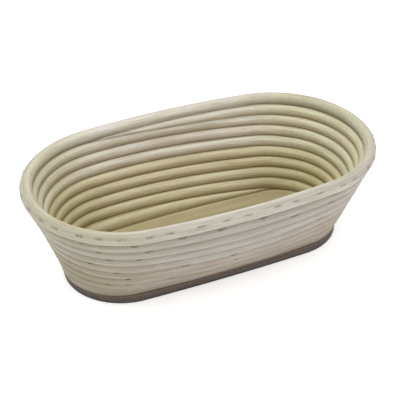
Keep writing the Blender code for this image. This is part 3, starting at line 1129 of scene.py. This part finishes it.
def staple_shape(name, crown, leg, width, thickness):
    """A staple bent from flat wire: the crown's outer face on z = 0, rounded over its shoulders."""
    half = crown / 2
    bow = thickness * 0.9
    shoulder = [(half, -leg), (half, -bow), (half - bow * 0.3, -bow * 0.3), (half - bow, 0)]
    outer = [(-x, z) for x, z in shoulder] + shoulder[::-1]
    inner = [
        (half - thickness, -leg),
        (half - thickness, -thickness * 1.25),
        (half - thickness * 1.4, -thickness),
        (thickness * 1.4 - half, -thickness),
        (thickness - half, -thickness * 1.25),
        (thickness - half, -leg),
    ]
    mesh = filled_out([(x, -width / 2, z) for x, z in outer + inner], (0, width, 0))
    bmesh.ops.recalc_face_normals(mesh, faces=mesh.faces)
    return shape_of(name, mesh)


def seats_mesh(name, seats):
    """Points that carry each fastener's direction along the cane and its way out."""
    mesh = bpy.data.meshes.new(name)
    mesh.from_pydata([seat[0] for seat in seats], [], [])
    for key, index in (("along", 1), ("back", 2)):
        layer = mesh.attributes.new(key, "FLOAT_VECTOR", "POINT")
        layer.data.foreach_set("vector", [part for seat in seats for part in seat[index]])
    return mesh


scatter = scatter_tree()


def fastener_piece(name, seats, shape, finish, slot, nodes, **values):
    piece = baked(name, seats_mesh(name, seats), scatter, Fastener=shape, Material=finish, **values)
    keep_attributes(piece, ("position",))
    if nodes:
        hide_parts(*nodes)
    return piece


rim_seats = []
for step in RIM_STAPLE_STEPS:
    into = centre_at(step, TURNS - 1)
    rim_seats.append(staple_seat(*rim_frame(step), STAPLE_ANGLE, RIM_CROWN_RADIUS, into))

wall_seats = []
for place, angle, _ in WALL_STAPLES:
    step, level = place + RAMP_START, min(spiral_level(place), TURNS - 1)
    directions = frame_at(step, level)
    into = centre_at(step, level - 1)
    wall_seats.append(staple_seat(centre_at(step, level), *directions, angle, WALL_CROWN_RADIUS, into))

rim_staple = staple_shape("rim staple shape", STAPLE_CROWN, STAPLE_LEG, 0.0011, STAPLE_THICKNESS)
wall_staple = staple_shape("wall staple shape", 0.0044, 0.010, 0.0013, STAPLE_THICKNESS)
rim_staple_nodes = [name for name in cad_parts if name.startswith("rim_staple")]
rim_staples = fastener_piece(
    "rim_staples",
    rim_seats,
    rim_staple,
    staple_finish,
    "staple_wire",
    rim_staple_nodes,
    Twist=0.06,
    Sink=0.0001,
    Seed=3,
)
wall_staples = fastener_piece(
    "wall_staples",
    wall_seats,
    wall_staple,
    wall_staple_finish,
    "staple_wire",
    (),
    Twist=0.10,
    Sink=0.0003,
    Seed=5,
)


NAIL_SIDES = 12
# Radius and height of the nail's outline: head, shank and point.
NAIL_OUTLINE = (
    (0.0020, 0.0000),
    (0.0020, 0.0005),
    (0.0017, 0.0008),
    (0.0008, 0.0010),
    (0.0008, 0.0095),
    (0.0002, 0.0112),
)


def nail_shape():
    """A round nail, point up: a slightly domed head and a shank with a short point."""
    mesh = bmesh.new()
    rows = []
    for radius, z in NAIL_OUTLINE:
        angles = (2 * math.pi * side / NAIL_SIDES for side in range(NAIL_SIDES))
        rows.append([mesh.verts.new((radius * math.cos(a), radius * math.sin(a), z)) for a in angles])
    for near, far in zip(rows, rows[1:]):
        for side in range(NAIL_SIDES):
            other = (side + 1) % NAIL_SIDES
            mesh.faces.new((near[side], near[other], far[other], far[side]))
    mesh.faces.new(reversed(rows[0]))
    mesh.faces.new(rows[-1])
    return shape_of("nail shape", mesh)


nail = nail_shape()
nail_nodes = [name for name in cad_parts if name.startswith("plate_nail")]
nail_seats = []
for name in nail_nodes:
    low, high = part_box(name)
    head = Vector(((low.x + high.x) / 2, (low.y + high.y) / 2, low.z))
    nail_seats.append((head, Vector((1, 0, 0)), Vector((0, 0, 1))))
nails = fastener_piece(
    "plate_nails", nail_seats, nail, nail_finish, "nail_steel", nail_nodes, Twist=1.5, Sink=0.0, Seed=8
)


# ---------------- base plate


def plate_piece():
    """The oval board, its edges eased, with a shallow countersink for each nail."""
    outline = [oval_point(PLATE_SIZES, step)[0] for step in range(STEPS)]
    mesh = filled_out(outline, (0, 0, PLATE_THICKNESS))
    edges = [edge for edge in mesh.edges if edge.verts[0].co.z == edge.verts[1].co.z]
    bmesh.ops.bevel(mesh, geom=edges, offset=PLATE_EDGE_ROUND, segments=3, profile=0.5, affect="EDGES")
    bmesh.ops.recalc_face_normals(mesh, faces=mesh.faces)
    board = shape_of("board shape", mesh)
    cuts = bmesh.new()
    for seat, _, _ in nail_seats:
        bmesh.ops.create_cone(
            cuts,
            cap_ends=True,
            segments=20,
            radius1=COUNTERSINK_RADIUS,
            radius2=COUNTERSINK_RADIUS - COUNTERSINK_TAPER,
            depth=2 * COUNTERSINK_DEPTH,
            matrix=Matrix.Translation((seat.x, seat.y, 0)),
        )
    cutter = shape_of("countersinks", cuts)
    sinks = board.modifiers.new("countersinks", "BOOLEAN")
    sinks.operation = "DIFFERENCE"
    sinks.solver = "EXACT"
    sinks.object = cutter
    data = plain_mesh(board)
    bpy.data.objects.remove(cutter)
    data.name = "base_board"
    data.shade_smooth()
    data.set_sharp_from_angle(angle=math.radians(35))
    data.materials.clear()
    data.materials.append(plate_finish)
    piece = placed("base_board", data)
    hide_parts("base_plate")
    return piece


plate = plate_piece()

for shape in (rim_staple, wall_staple, nail):
    bpy.data.objects.remove(shape)
for piece in (lower_cane, upper_cane, rim_cane, rim_staples, wall_staples, nails, plate):
    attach(piece, "root")


# ---------------- floor, light and camera

BASKET_MIDDLE = Vector((0, 0, 0.04))


def floor_piece():
    """A plain pale floor."""
    mesh = bmesh.new()
    bmesh.ops.create_grid(mesh, x_segments=1, y_segments=1, size=6.0)
    floor = shape_of("floor", mesh)
    made, tree, shader = material("pale floor")
    place = object_place(tree)
    shade = blend(tree, noise(tree, place, 3.0), (0.93, 0.93, 0.93, 1), (0.95, 0.95, 0.95, 1))
    tree.links.new(shade, shader.inputs["Base Color"])
    shader.inputs["Roughness"].default_value = 0.9
    shader.inputs["Specular IOR Level"].default_value = 0.1
    shader.inputs["Emission Color"].default_value = WHITE
    shader.inputs["Emission Strength"].default_value = 0.42
    floor.data.materials.append(made)


def soft_light(name, place, size, power):
    """A round area light turned to the middle of the basket."""
    data = bpy.data.lights.new(name, "AREA")
    data.shape = "DISK"
    data.size = size
    data.energy = power
    light = placed(name, data)
    light.location = place
    light.rotation_euler = (BASKET_MIDDLE - Vector(place)).to_track_quat("-Z", "Y").to_euler()


floor_piece()
world = bpy.data.worlds.new("studio")
world.use_nodes = True
background = world.node_tree.nodes["Background"]
background.inputs["Color"].default_value = WHITE
background.inputs["Strength"].default_value = 0.80
bpy.context.scene.world = world
soft_light("overhead softbox", (-0.25, 0.10, 1.25), 1.1, 10.0)
soft_light("front fill", (0.7, -1.1, 0.7), 0.8, 4.0)

CAMERA_AZIMUTH = math.radians(-24.844)
CAMERA_ELEVATION = math.radians(34.428)
CAMERA_DISTANCE = 0.8572
CAMERA_TARGET = Vector((0.00725, 0.02043, 0.027))
CAMERA_LENS = 96.857

camera_data = bpy.data.cameras.new("camera")
camera_data.lens = CAMERA_LENS
camera_data.sensor_width = 36.0
camera = placed("camera", camera_data)
back = Vector(
    (
        math.sin(CAMERA_AZIMUTH) * math.cos(CAMERA_ELEVATION),
        -math.cos(CAMERA_AZIMUTH) * math.cos(CAMERA_ELEVATION),
        math.sin(CAMERA_ELEVATION),
    )
)
camera.location = CAMERA_TARGET + back * CAMERA_DISTANCE
camera.rotation_euler = (-back).to_track_quat("-Z", "Y").to_euler()
bpy.context.scene.camera = camera
bpy.context.scene.view_settings.view_transform = "Standard"
